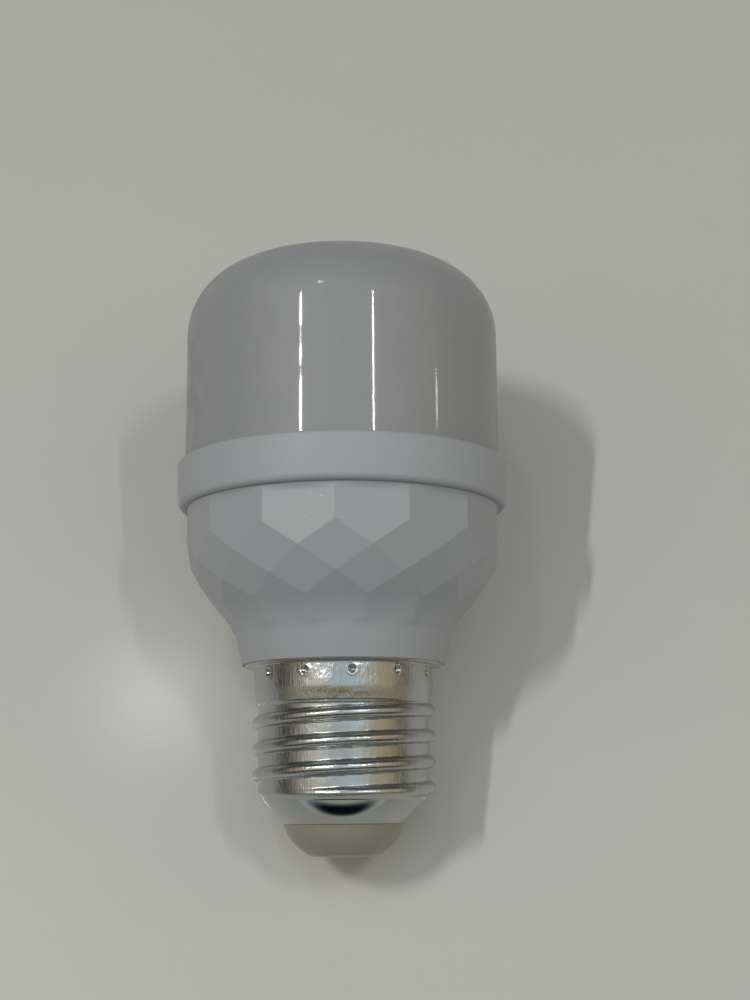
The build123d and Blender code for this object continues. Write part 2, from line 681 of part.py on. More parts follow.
def main():
    os.makedirs("parts", exist_ok=True)
    white = (0.80, 0.81, 0.80)
    steel = (0.72, 0.71, 0.68)
    dark = (0.06, 0.06, 0.07)
    copper = (0.72, 0.45, 0.22)
    save("diffuser", diffuser(), (0.86, 0.86, 0.84))
    save("diffuser_seal", diffuser_seal(), (0.9, 0.9, 0.9))
    save("collar_ring", collar_ring(), white)
    save("housing", housing(), white)
    save("screw_shell", screw_shell(), steel)
    save("insulator", insulator(), (0.62, 0.58, 0.52))
    save("centre_contact", centre_contact(), steel)
    save("heatsink_cup", heatsink_cup(), (0.75, 0.76, 0.78))
    save("thermal_pad", thermal_pad(), (0.45, 0.48, 0.55))
    save("led_board", led_board(), (0.92, 0.92, 0.92))
    save("warm_white_leds", ring_lights(0), (0.95, 0.75, 0.3))
    save("cool_white_leds", ring_lights(1), (0.95, 0.9, 0.55))
    save("colour_leds", colour_lights(), (0.9, 0.9, 0.9))
    save("board_screws", board_screws(), steel)
    save("header_pins", header_pins(), (0.8, 0.65, 0.3))
    save("board_socket", board_socket(), dark)
    save("driver_board", driver_board(), (0.12, 0.32, 0.18))
    save("input_capacitor", can_capacitor(4.0, 3.6, -1, 16.0, 29.0), dark)
    save("output_capacitor", can_capacitor(4.0, -10.6, 1, 37.0, 47.0), (0.1, 0.13, 0.3))
    save("transformer_core", transformer_core(), (0.15, 0.15, 0.16))
    save("transformer_winding", transformer_winding(), (0.85, 0.7, 0.2))
    save("line_choke", line_choke(), (0.2, 0.2, 0.2))
    save("surge_varistor", surge_varistor(), (0.15, 0.3, 0.6))
    save("fusible_resistor", fusible_resistor(), (0.35, 0.5, 0.45))
    save("bridge_rectifier", chip_package(0, back(1.6), 23.6, 4.0, 4.6, 2, 1), dark)
    save("driver_chip", chip_package(10.0, front(1.6), 36.0, 3.8, 4.9, 4, -1), dark)
    save("radio_board", radio_board(), (0.1, 0.12, 0.14))
    save("radio_chip", radio_chip(), dark)
    save("radio_shield", radio_shield(), (0.78, 0.78, 0.78))
    save("radio_pins", radio_pins(), (0.8, 0.65, 0.3))
    save("antenna", antenna(), copper)
    save("live_lead", live_lead(), (0.7, 0.1, 0.08))
    save("neutral_lead", neutral_lead(), dark)


main()
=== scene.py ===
"""A smart light bulb lying on a pale table: opal dome, collar, faceted housing and rolled screw cap.

Sizes are in millimetres in the bulb's own frame: the origin is the middle of the centre contact's
bottom face, +Z runs up the axis to the dome, and angles round the axis count from -Y towards +X.
"""

import logging
import math
from collections.abc import Callable
from dataclasses import dataclass
from enum import Enum

import bmesh
import bpy
from mathutils import Matrix, Vector


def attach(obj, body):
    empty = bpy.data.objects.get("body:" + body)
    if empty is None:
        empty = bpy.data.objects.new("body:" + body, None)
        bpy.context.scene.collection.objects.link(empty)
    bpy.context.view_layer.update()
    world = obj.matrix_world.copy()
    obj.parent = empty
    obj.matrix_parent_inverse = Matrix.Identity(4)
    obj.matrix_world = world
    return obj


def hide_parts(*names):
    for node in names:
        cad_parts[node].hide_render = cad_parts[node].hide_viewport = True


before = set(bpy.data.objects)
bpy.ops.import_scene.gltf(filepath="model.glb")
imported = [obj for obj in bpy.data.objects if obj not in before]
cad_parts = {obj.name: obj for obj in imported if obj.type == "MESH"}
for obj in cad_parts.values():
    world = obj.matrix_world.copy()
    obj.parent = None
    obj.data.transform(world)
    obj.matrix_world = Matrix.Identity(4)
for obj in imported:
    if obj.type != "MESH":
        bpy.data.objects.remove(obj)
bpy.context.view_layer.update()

MM = 0.001
TAU = 2 * math.pi
HAIR = 0.01  # how near two sizes in millimetres are the same
log = logging.getLogger("smart_bulb")

Point = tuple[float, float]
Colour = tuple[float, float, float]
Direction = tuple[float, float, float]


class Slot(Enum):
    """Names of the record's material slots, one for each new piece's finish."""

    OPAL = "opal_diffuser"
    COLLAR = "collar_plastic"
    HOUSING = "housing_plastic"
    CAP = "cap_metal"
    INSULATOR = "insulator_plastic"
    CONTACT = "contact_metal"


def ease(value: float, low: float, high: float) -> float:
    """Smooth step from 0 at low to 1 at high.

    Args:
        value: Where the step is read.
        low: Where it leaves 0.
        high: Where it reaches 1.

    Returns:
        A number from 0 to 1.
    """
    share = min(max((value - low) / (high - low), 0.0), 1.0)
    return share * share * (3 - 2 * share)


def circle_through(start: Point, middle: Point, end: Point) -> tuple[Point, float]:
    """Finds the circle through three points.

    Args:
        start: First point.
        middle: Second point.
        end: Third point.

    Returns:
        The circle's centre and radius.
    """
    (ax, ay), (bx, by), (cx, cy) = start, middle, end
    scale = 2 * (ax * (by - cy) + bx * (cy - ay) + cx * (ay - by))
    a, b, c = ax * ax + ay * ay, bx * bx + by * by, cx * cx + cy * cy
    x = (a * (by - cy) + b * (cy - ay) + c * (ay - by)) / scale
    y = (a * (cx - bx) + b * (ax - cx) + c * (bx - ax)) / scale
    return (x, y), math.dist((x, y), start)


def arc(centre: Point, radius: float, start: float, end: float, steps: int) -> list[Point]:
    """Points on a round stretch of an outline.

    Args:
        centre: The arc's centre as (radius, height).
        radius: The arc's own radius.
        start: Start angle in degrees from the radial direction.
        end: End angle in degrees.
        steps: How many stretches the arc has.

    Returns:
        steps + 1 points.
    """
    points = []
    for step in range(steps + 1):
        angle = math.radians(start + (end - start) * step / steps)
        points.append((centre[0] + radius * math.cos(angle), centre[1] + radius * math.sin(angle)))
    return points


def arc_through(start: Point, middle: Point, end: Point, steps: int) -> list[Point]:
    """Points on the arc from start to end through middle.

    Args:
        start: First point.
        middle: A point on the way.
        end: Last point.
        steps: How many stretches the arc has.

    Returns:
        steps + 1 points.
    """
    centre, radius = circle_through(start, middle, end)
    low = math.degrees(math.atan2(start[1] - centre[1], start[0] - centre[0]))
    high = math.degrees(math.atan2(end[1] - centre[1], end[0] - centre[0]))
    return arc(centre, radius, low, high, steps)


# ---- Shader tools -----------------------------------------------------------------------------


@dataclass(frozen=True)
class Signal:
    """A shader socket that adds its Math nodes when it is used in an expression."""

    tree: bpy.types.NodeTree
    socket: bpy.types.NodeSocket

    def math(self, operation: str, *values: "Signal | float") -> "Signal":
        """Adds one Math node.

        Args:
            operation: The node's operation.
            values: Its inputs, in order.

        Returns:
            The node's result.
        """
        node = self.tree.nodes.new("ShaderNodeMath")
        node.operation = operation
        for place, value in zip(node.inputs, values):
            if isinstance(value, Signal):
                self.tree.links.new(value.socket, place)
            else:
                place.default_value = value
        return Signal(self.tree, node.outputs[0])

    def __add__(self, other: "Signal | float") -> "Signal":
        """self + other."""
        return self.math("ADD", self, other)

    __radd__ = __add__

    def __sub__(self, other: "Signal | float") -> "Signal":
        """self - other."""
        return self.math("SUBTRACT", self, other)

    def __rsub__(self, other: float) -> "Signal":
        """other - self."""
        return self.math("SUBTRACT", other, self)

    def __mul__(self, other: "Signal | float") -> "Signal":
        """self * other."""
        return self.math("MULTIPLY", self, other)

    __rmul__ = __mul__

    def __truediv__(self, other: "Signal | float") -> "Signal":
        """self / other."""
        return self.math("DIVIDE", self, other)

    def step(self, low: float, high: float) -> "Signal":
        """A smooth step that is 0 at low and 1 at high.

        Args:
            low: Where the step leaves 0.
            high: Where it reaches 1, which may be below low.

        Returns:
            The step's value.
        """
        node = self.tree.nodes.new("ShaderNodeMapRange")
        node.interpolation_type = "SMOOTHSTEP"
        for name, value in (("From Min", min(low, high)), ("From Max", max(low, high))):
            node.inputs[name].default_value = value
        self.tree.links.new(self.socket, node.inputs["Value"])
        rising = Signal(self.tree, node.outputs["Result"])
        return rising if high > low else 1 - rising


class Painter:
    """Adds nodes to one material's or world's tree."""

    def __init__(self, tree: bpy.types.NodeTree) -> None:
        """Takes the tree and empties it."""
        self.tree = tree
        tree.nodes.clear()

    def node(self, kind: str, settings: dict | None = None, inputs: dict | None = None) -> bpy.types.Node:
        """Adds one node.

        Args:
            kind: The node's type.
            settings: Its properties, with a ramp's stops as (place, colour) pairs under "stops".
            inputs: Values or signals by socket name or number.

        Returns:
            The new node.
        """
        node = self.tree.nodes.new(kind)
        for name, value in (settings or {}).items():
            if name == "stops":
                self._fill_ramp(node.color_ramp, value)
            else:
                setattr(node, name, value)
        for name, value in (inputs or {}).items():
            if isinstance(value, Signal):
                self.tree.links.new(value.socket, node.inputs[name])
            else:
                node.inputs[name].default_value = value
        return node

    @staticmethod
    def _fill_ramp(ramp: bpy.types.ColorRamp, stops: list[tuple[float, Colour]]) -> None:
        """Gives a ramp its stops.

        Args:
            ramp: The ramp.
            stops: Its places and colours, in order.
        """
        while len(ramp.elements) < len(stops):
            ramp.elements.new(1.0)
        for element, (place, colour) in zip(ramp.elements, stops):
            element.position = place
            element.color = (*colour, 1.0)

    def out(self, node: bpy.types.Node, name: str | int = 0) -> Signal:
        """One of a node's outputs as a signal."""
        return Signal(self.tree, node.outputs[name])

    def place(self, scale: tuple[float, float, float] = (1, 1, 1)) -> Signal:
        """Object coordinates in millimetres, stretched.

        Args:
            scale: How many pattern units a millimetre holds along each axis.

        Returns:
            The coordinates.
        """
        coordinates = self.node("ShaderNodeTexCoord")
        per_metre = tuple(part / MM for part in scale)
        mapping = self.node(
            "ShaderNodeMapping", {}, {"Vector": self.out(coordinates, "Object"), "Scale": per_metre}
        )
        return self.out(mapping)

    def noise(self, scale: tuple[float, float, float], detail: float = 2.0, shift: float = 0.0) -> Signal:
        """Soft noise round 0.5.

        Args:
            scale: Lumps per millimetre along each axis.
            detail: How many finer layers it has.
            shift: Moves to another part of the noise.

        Returns:
            The noise's value.
        """
        node = self.node(
            "ShaderNodeTexNoise",
            {"noise_dimensions": "4D"},
            {"Vector": self.place(scale), "W": shift, "Scale": 1.0, "Detail": detail},
        )
        return self.out(node, "Fac")

    def specks(self, per_mm: float, size: float, share: float, shift: float = 0.0) -> Signal:
        """Small round dots, such as dust.

        Args:
            per_mm: Cells per millimetre, each with one place for a dot.
            size: A dot's radius in cells.
            share: How many of the cells have a dot, from 0 to 1.
            shift: Moves to other dots.

        Returns:
            1 in a dot and 0 outside.
        """
        cells = self.node(
            "ShaderNodeTexVoronoi",
            {"voronoi_dimensions": "4D"},
            {"Vector": self.place((per_mm,) * 3), "W": shift, "Scale": 1.0},
        )
        parts = self.node("ShaderNodeSeparateColor", {}, {"Color": self.out(cells, "Color")})
        chosen = self.out(parts, "Red").step(share + 0.001, share - 0.001)
        return self.out(cells, "Distance").step(size, size * 0.5) * chosen

    def mix(self, factor: Signal | float, first: Signal | Colour, second: Signal | Colour) -> Signal:
        """Blends two colours.

        Args:
            factor: 0 for the first colour and 1 for the second.
            first: A colour or signal.
            second: A colour or signal.

        Returns:
            The blended colour.
        """
        sides = [side if isinstance(side, Signal) else (*side, 1.0) for side in (first, second)]
        node = self.node(
            "ShaderNodeMix", {"data_type": "RGBA"}, {"Factor": factor, 6: sides[0], 7: sides[1]}
        )
        return self.out(node, 2)

    def shades(self, factor: Signal, colour: Colour, spread: float) -> Signal:
        """A colour that varies a little.

        Args:
            factor: From 0 for the darker shade to 1 for the lighter.
            colour: The middle shade.
            spread: How far the shades are from the middle, as a share.

        Returns:
            The colour.
        """
        dark = tuple(part * (1 - spread) for part in colour)
        light = tuple(min(part * (1 + spread), 1.0) for part in colour)
        return self.mix(factor, dark, light)

    def bump(self, height: Signal, depth_mm: float) -> Signal:
        """A normal from a height pattern.

        Args:
            height: The pattern.
            depth_mm: How high 1 stands.

        Returns:
            The normal.
        """
        node = self.node("ShaderNodeBump", {}, {"Distance": depth_mm * MM, "Height": height})
        return self.out(node)


# ---- Finishes ---------------------------------------------------------------------------------


@dataclass(frozen=True)
class Finish:
    """A plain moulded, plated or painted finish with a faint mottle and a fine grain."""

    name: str
    colour: Colour
    roughness: float = 0.45
    metallic: float = 0.0
    mottle: float = 0.06
    grain_per_mm: float = 2.0
    grain_depth: float = 0.004

    def material(self) -> bpy.types.Material:
        """Makes the material.

        Returns:
            The finished material.
        """
        material = bpy.data.materials.new(self.name)
        material.use_nodes = True
        painter = Painter(material.node_tree)
        shader = painter.node(
            "ShaderNodeBsdfPrincipled", {}, {"Metallic": self.metallic, **self.dress(painter)}
        )
        surface = self.surface(painter, painter.out(shader))
        painter.node("ShaderNodeOutputMaterial", {}, {"Surface": surface})
        return material

    def surface(self, painter: Painter, shaded: Signal) -> Signal:
        """Returns the shaded surface as it is."""
        return shaded

    def dress(self, painter: Painter) -> dict[str, Signal | float | tuple]:
        """Says what goes into the shader.

        Args:
            painter: Adds the nodes.

        Returns:
            Values and signals by the shader's socket names.
        """
        grain = painter.noise((self.grain_per_mm,) * 3)
        return {
            "Base Color": painter.shades(grain, self.colour, self.mottle),
            "Roughness": self.roughness + (grain - 0.5) * 0.1,
            "Normal": painter.bump(grain, self.grain_depth),
        }


@dataclass(frozen=True)
class OpalFinish(Finish):
    """Opal polycarbonate with a clear gloss that is rubbed on its left, fine scuffs and some dust."""

    scuff_colour: Colour = (0.72, 0.74, 0.75)
    scuff_cover: float = 0.25
    dust_colour: Colour = (0.12, 0.11, 0.10)
    dust_cover: float = 0.55
    gloss: float = 0.5
    gloss_roughness: float = 0.05
    worn_right: float = 0.25
    bleed: float = 0.35
    bleed_radius: Colour = (0.003, 0.003, 0.0028)

    def dress(self, painter: Painter) -> dict[str, Signal | float | tuple]:
        """Says what goes into the shader.

        Args:
            painter: Adds the nodes.

        Returns:
            Values and signals by the shader's socket names.
        """
        cloud = painter.noise((0.06, 0.06, 0.04), 3.0)
        scuffs = painter.noise((1.2, 1.2, 5.0), 4.0).step(0.62, 0.74)
        scuffs = scuffs * painter.noise((0.16, 0.16, 0.1), 2.0, 3.0).step(0.42, 0.58)
        dust = painter.specks(0.35, 0.07, 0.25) + painter.specks(0.5, 0.05, 0.12, 5.0)
        base = painter.shades(cloud, self.colour, self.mottle)
        base = painter.mix(scuffs * self.scuff_cover, base, self.scuff_colour)
        base = painter.mix(dust * self.dust_cover, base, self.dust_colour)
        ripple = painter.noise((0.25, 0.25, 0.12), 2.0, 7.0)
        side = painter.out(painter.node("ShaderNodeSeparateXYZ", {}, {0: painter.place()}), "X")
        wear = self.worn_right + side.step(2.0, -2.0) * (1 - self.worn_right)
        rubbed = painter.noise((0.5, 0.5, 0.3), 2.0, 11.0).step(0.38, 0.56) * wear
        fray = painter.noise((3.0, 3.0, 2.2), 3.0, 12.0).step(0.40, 0.62)
        kept = 1 - rubbed * (fray * 0.12 + 0.86)
        return {
            "Base Color": base,
            "Roughness": self.roughness + scuffs * 0.2 + (cloud - 0.5) * 0.08,
            "Normal": painter.bump(ripple + scuffs * 0.4, 0.02),
            "Subsurface Weight": self.bleed,
            "Subsurface Radius": self.bleed_radius,
            "Subsurface Scale": 1.0,
            "Coat Weight": kept * self.gloss,
            "Coat Roughness": self.gloss_roughness,
        }


@dataclass(frozen=True)
class HousingFinish(Finish):
    """Spark-eroded white plastic with a fine grain and a few dark specks; its glints are specks with a
    lower roughness and a painted highlight in their colour.
    """

    painted_glint_colour: Colour = (0.95, 0.97, 1.0)
    painted_glint_cover: float = 0.12
    dust_colour: Colour = (0.06, 0.05, 0.04)
    dust_cover: float = 0.8

    def dress(self, painter: Painter) -> dict[str, Signal | float | tuple]:
        """Says what goes into the shader.

        Args:
            painter: Adds the nodes.

        Returns:
            Values and signals by the shader's socket names.
        """
        grain = painter.noise((3.0,) * 3, 2.0)
        glints = painter.specks(2.2, 0.3, 0.1, 2.0)
        cloud = painter.noise((0.08,) * 3, 2.0, 4.0)
        dust = painter.specks(0.22, 0.045, 0.4, 8.0)
        base = painter.shades(cloud, self.colour, self.mottle)
        # painted glints: the glint specks' base colour is lightened towards white; their lower roughness
        # below gives real glints as well
        base = painter.mix(glints * self.painted_glint_cover, base, self.painted_glint_colour)
        base = painter.mix(dust * self.dust_cover, base, self.dust_colour)
        return {
            "Base Color": base,
            "Roughness": self.roughness + (grain - 0.5) * 0.2 - glints * 0.15,
            "Normal": painter.bump(grain, self.grain_depth),
        }


@dataclass(frozen=True)
class PlatedFinish(Finish):
    """Bright rolled plating: cellular and drawn marks on the wall and a polished cone."""

    cone_top: float = 8.2
    mark_depth: float = 0.075
    polish: float = 0.45
    stain_tint: Colour = (0.97, 0.93, 0.84)

    def dress(self, painter: Painter) -> dict[str, Signal | float | tuple]:
        """Says what goes into the shader.

        Args:
            painter: Adds the nodes.

        Returns:
            Values and signals by the shader's socket names.
        """
        height = painter.out(painter.node("ShaderNodeSeparateXYZ", {}, {0: painter.place()}), "Z")
        rolled = height.step(self.cone_top - 0.3, self.cone_top + 0.5)
        cells = painter.noise((3.0, 3.0, 1.6), 3.0)
        drawn = painter.noise((5.0, 5.0, 0.35), 2.0, 2.0)
        dents = painter.noise((0.45, 0.45, 0.55), 1.0, 6.0) * 1.1
        stain = painter.noise((0.14, 0.14, 0.2), 3.0, 9.0)
        marks = (cells * 0.55 + drawn * 0.45) * rolled + dents * 0.9 * rolled
        warm = tuple(part * shade for part, shade in zip(self.colour, self.stain_tint))
        return {
            "Base Color": painter.mix(stain.step(0.45, 0.7), self.colour, warm),
            "Roughness": self.roughness * (self.polish + rolled * (1 - self.polish))
            + (cells - 0.5) * 0.12 * rolled,
            "Normal": painter.bump(marks, self.mark_depth),
        }


@dataclass(frozen=True)
class TableFinish(Finish):
    """A pale lacquered table top with faint clouds, ripples and specks."""

    speck_colour: Colour = (0.1, 0.1, 0.1)
    speck_cover: float = 0.6
    ripple_depth: float = 0.12
    lacquer: float = 0.35
    lacquer_roughness: float = 0.14

    def surface(self, painter: Painter, shaded: Signal) -> Signal:
        """Makes the table's underside clear, so that the bulb shows from below it.

        Args:
            painter: Adds the nodes.
            shaded: The lacquered side.

        Returns:
            The two-sided surface.
        """
        underside = painter.out(painter.node("ShaderNodeNewGeometry"), "Backfacing")
        clear = painter.out(painter.node("ShaderNodeBsdfTransparent"))
        mixed = painter.node("ShaderNodeMixShader", {}, {0: underside, 1: shaded, 2: clear})
        return painter.out(mixed)

    def dress(self, painter: Painter) -> dict[str, Signal | float | tuple]:
        """Says what goes into the shader.

        Args:
            painter: Adds the nodes.

        Returns:
            Values and signals by the shader's socket names.
        """
        cloud = painter.noise((0.02,) * 3, 3.0)
        specks = painter.specks(0.03, 0.02, 0.35)
        base = painter.shades(cloud, self.colour, self.mottle)
        return {
            "Base Color": painter.mix(specks * self.speck_cover, base, self.speck_colour),
            "Roughness": self.roughness + (cloud - 0.5) * 0.1,
            "Normal": painter.bump(painter.noise((0.12,) * 3, 4.0, 3.0), self.ripple_depth),
            "Coat Weight": self.lacquer + (cloud - 0.5) * 0.5,
            "Coat Roughness": self.lacquer_roughness,
        }


# ---- Modelling bench --------------------------------------------------------------------------


class Bench:
    """Modelling calls that act only on the piece in hand."""

    @staticmethod
    def clear() -> None:
        """Leaves edit mode and deselects everything."""
        if bpy.context.object and bpy.context.object.mode != "OBJECT":
            bpy.ops.object.mode_set(mode="OBJECT")
        bpy.ops.object.select_all(action="DESELECT")

    @staticmethod
    def turned(name: str, outline: list[Point], steps: int, crease: float = 35.0) -> bpy.types.Object:
        """Draws an outline point by point and spins it round the axis.

        Args:
            name: The piece's name.
            outline: Points as (radius, height), outer side upwards, closed or ending on the axis.
            steps: How many steps the spin has.
            crease: Edges sharper than this many degrees stay sharp.

        Returns:
            The turned piece.
        """
        Bench.clear()
        bpy.ops.mesh.primitive_plane_add(size=MM)
        piece = bpy.context.object
        piece.name = piece.data.name = name
        bpy.ops.object.mode_set(mode="EDIT")
        bpy.ops.mesh.select_mode(type="VERT")
        bpy.ops.mesh.select_all(action="SELECT")
        bpy.ops.mesh.merge(type="CENTER")
        bpy.ops.transform.translate(value=(outline[0][0] * MM, 0, outline[0][1] * MM))
        for before, after in zip(outline, outline[1:]):
            move = ((after[0] - before[0]) * MM, 0, (after[1] - before[1]) * MM)
            bpy.ops.mesh.extrude_vertices_move(TRANSFORM_OT_translate={"value": move})
        bpy.ops.mesh.select_all(action="SELECT")
        bpy.ops.mesh.spin(steps=steps, angle=TAU, center=(0, 0, 0), axis=(0, 0, 1))
        bpy.ops.mesh.select_all(action="SELECT")
        bpy.ops.mesh.remove_doubles(threshold=0.002 * MM)
        bpy.ops.mesh.normals_make_consistent(inside=False)
        bpy.ops.object.mode_set(mode="OBJECT")
        bpy.ops.object.shade_smooth_by_angle(angle=math.radians(crease))
        return piece

    @staticmethod
    def hand_over(piece: bpy.types.Object, finish: Finish, slot: Slot, *nodes: str) -> None:
        """Dresses a finished piece and puts it in the CAD nodes' place.

        Args:
            piece: The piece.
            finish: Its finish.
            slot: The record's slot for that finish; not used.
            nodes: The CAD nodes that it stands for.
        """
        piece.data.materials.clear()
        piece.data.materials.append(finish.material())
        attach(piece, "root")
        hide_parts(*nodes)
        log.info("%s: %d faces, stands for %s", piece.name, len(piece.data.polygons), ", ".join(nodes))


# ---- Screw cap --------------------------------------------------------------------------------


@dataclass(frozen=True)
class KnuckleThread:
    """The rolled thread's ridge."""

    pitch: float = 3.629
    height: float = 0.9
    half_width: float = 1.0
    flatness: float = 2.2
    fullness: float = 0.72
    crest_at_side: float = 9.384
    run_in: Point = (7.97, 9.08)
    run_out: Point = (20.5, 21.4)

    def rise(self, angle: float, height: float) -> float:
        """How far the ridge stands out of the root.

        Args:
            angle: Round the axis, from -Y towards +X, in radians.
            height: Height on the axis.

        Returns:
            The rise in millimetres.
        """
        first = self.crest_at_side + self.pitch * (angle / TAU - 0.25)
        crest = first + self.pitch * round((height - first) / self.pitch)
        share = abs(height - crest) / self.half_width
        if share >= 1:
            return 0.0
        bump = (1 - share**self.flatness) ** self.fullness
        return self.height * bump * ease(crest, *self.run_in) * (1 - ease(crest, *self.run_out))


@dataclass(frozen=True)
class StakeRing:
    """The ring of punched dimples that holds the cap on the housing."""

    count: int = 12
    height: float = 25.3
    phase: float = 8.0
    radius: float = 12.8
    depth: float = 0.42
    width: float = 0.34
    rim: float = 0.07
    rim_place: float = 2.1
    rim_width: float = 0.6
    floor: float = 1.15

    def depth_at(self, angle: float, height: float) -> float:
        """How deep the wall is pushed in.

        Args:
            angle: Round the axis, in radians.
            height: Height on the axis.

        Returns:
            The depth in millimetres, which is below 0 on a dimple's raised rim.
        """
        step = TAU / self.count
        offset = (angle - math.radians(self.phase) + step / 2) % step - step / 2
        away = math.hypot(offset * self.radius, height - self.height) / self.width
        lip = self.rim * math.exp(-(((away - self.rim_place) / self.rim_width) ** 2))
        return self.depth * math.exp(-((away / self.floor) ** 4)) - lip


@dataclass
class ScrewCap:
    """The thin rolled shell: polished cone, knuckle thread and a skirt staked to the housing."""

    wall: float = 0.3
    lip: Point = (8.72, 4.5)
    cone_middle: Point = (10.46, 6.16)
    cone_top: Point = (11.85, 8.04)
    root: float = 12.2
    skirt: float = 12.8
    top: float = 26.8
    flange: float = 14.15
    flange_thickness: float = 0.3
    flange_gap: float = 0.12
    flange_round: float = 0.08
    flange_foot: tuple[Point, Point] = ((0.03, -0.05), (0.1, 0.0))
    entry_top: float = 8.7
    draw_in: float = 0.27
    draw_in_heights: Point = (20.75, 21.3)
    swell_heights: Point = (21.0, 23.3)
    swell_run: float = 2.1
    swell_straight: float = 0.75
    row: float = 0.115
    rows_top: float = 22.0
    skirt_rows: int = 28
    cone_steps: int = 14
    columns: int = 420
    lining: tuple[float, ...] = (
        *(26.8, 26.3, 26.0, 25.7, 25.4, 25.1, 24.8, 24.5, 24.2),
        *(22.9, 22.1, 21.3, 20.9, 20.7, 14.0, 8.8),
    )
    stake_low: float = 22.5
    stake_gap: float = 0.35
    fade: Point = (0.3, 0.9)
    thread: KnuckleThread = KnuckleThread()
    stakes: StakeRing = StakeRing()
    finish: Finish = PlatedFinish("bright_plating", (0.49, 0.51, 0.51), 0.2, 1.0)

    def body_radius(self, height: float) -> float:
        """The wall's outer radius without its thread.

        Args:
            height: Height on the axis, from the cone's top up.

        Returns:
            The radius.
        """
        entry = (self.root - self.cone_top[0]) * ease(height, self.cone_top[1], self.entry_top)
        drawn_in = self.draw_in * ease(height, *self.draw_in_heights)
        straight = min(max((height - self.swell_heights[0]) / self.swell_run, 0.0), 1.0)
        curved = ease(height, *self.swell_heights)
        share = self.swell_straight * straight + (1 - self.swell_straight) * curved
        swell = (self.skirt - self.root - self.draw_in) * share
        return self.cone_top[0] + entry + drawn_in + swell

    def outline(self) -> list[Point]:
        """The wall's closed outline.

        Returns:
            Points as (radius, height).
        """
        outside = arc_through(self.lip, self.cone_middle, self.cone_top, self.cone_steps)
        rows = round((self.rows_top - self.cone_top[1]) / self.row)
        heights = [self.cone_top[1] + self.row * step for step in range(1, rows + 1)]
        last = heights[-1]
        gap = self.top - last
        heights += [last + gap * step / self.skirt_rows for step in range(1, self.skirt_rows + 1)]
        outside += [(self.body_radius(height), height) for height in heights]
        edge = self.top - self.flange_thickness
        outside = [point for point in outside if point[1] < edge - self.flange_gap]
        outside += [(self.skirt + out, edge + up) for out, up in self.flange_foot]
        outside += [(self.flange - self.flange_round, edge), (self.flange, edge + self.flange_round)]
        outside += [(self.flange, self.top)]
        inside = [(self.body_radius(height) - self.wall, height) for height in self.lining]
        cone = outside[: self.cone_steps + 1]
        inside += [(radius - self.wall, height) for radius, height in reversed(cone)]
        return outside + inside + outside[:1]

    def build(self) -> None:
        """Makes the shell, presses its thread and dimples and puts it in place."""
        shell = Bench.turned("screw_shell_visual", self.outline(), self.columns, 50.0)
        for vertex in shell.data.vertices:
            x, y, z = (part / MM for part in vertex.co)
            if z <= self.cone_top[1] + HAIR:
                continue
            radius, angle = math.hypot(x, y), math.atan2(x, -y)
            body = self.body_radius(z)
            staked = self.stake_low < z < self.top - self.stake_gap
            push = -self.stakes.depth_at(angle, z) if staked else 0.0
            if body - self.wall / 2 < radius < self.skirt + HAIR:
                share = (self.skirt + self.fade[0] - body) / self.fade[1]
                push += self.thread.rise(angle, z) * min(max(share, 0.0), 1.0)
            scale = (radius + push) / radius
            vertex.co = (x * scale * MM, y * scale * MM, z * MM)
        shell.data.update()
        Bench.hand_over(shell, self.finish, Slot.CAP, "screw_shell")


@dataclass
class CapEnd:
    """The insulator ring and the centre contact riveted through it."""

    recess: float = 5.05
    recess_low: float = 0.3
    nose: tuple[Point, Point, Point] = ((5.15, 0.3), (7.35, 2.1), (8.62, 4.5))
    cone: tuple[Point, Point, Point] = ((8.37, 4.5), (10.2, 6.39), (11.5, 8.22))
    inside: tuple[Point, ...] = ((11.5, 9.3), (9.9, 9.3), (8.0, 5.7), (6.6, 4.1))
    hole: float = 1.3
    hole_top: float = 4.1
    contact: float = 5.0
    contact_height: float = 0.9
    contact_round: float = 0.25
    rivet: tuple[Point, ...] = ((1.25, 4.1), (2.1, 4.1), (2.1, 4.45), (1.25, 5.0), (0.6, 5.0), (0.6, 1.6))
    plastic: Finish = Finish("cap_glass_paste", (0.335, 0.315, 0.26), 0.35, mottle=0.08, grain_per_mm=1.2)
    metal: Finish = Finish("dull_tin", (0.50, 0.51, 0.49), 0.42, 0.7, grain_per_mm=1.5, grain_depth=0.01)

    def build_insulator(self) -> None:
        """Makes the insulator's closed ring."""
        nose = arc_through(*self.nose, 20)
        cone = arc_through(*self.cone, 8)
        inside = [*self.inside, (self.hole, self.hole_top), (self.hole, self.contact_height)]
        seat = [(self.recess, self.contact_height), (self.recess, self.recess_low)]
        ring = Bench.turned("insulator_visual", nose + cone + inside + seat + nose[:1], 160, 30.0)
        Bench.hand_over(ring, self.plastic, Slot.INSULATOR, "insulator")

    def build_contact(self) -> None:
        """Makes the contact disc with its hollow rivet."""
        rim = arc((self.contact - self.contact_round, self.contact_round), self.contact_round, -90, 0, 5)
        foot = (self.rivet[0][0], self.contact_height)
        outline = [(0, 0), *rim, (self.contact, self.contact_height), foot, *self.rivet]
        outline += [(0, self.rivet[-1][1])]
        disc = Bench.turned("centre_contact_visual", outline, 128, 30.0)
        Bench.hand_over(disc, self.metal, Slot.CONTACT, "centre_contact")


# ---- Housing ----------------------------------------------------------------------------------


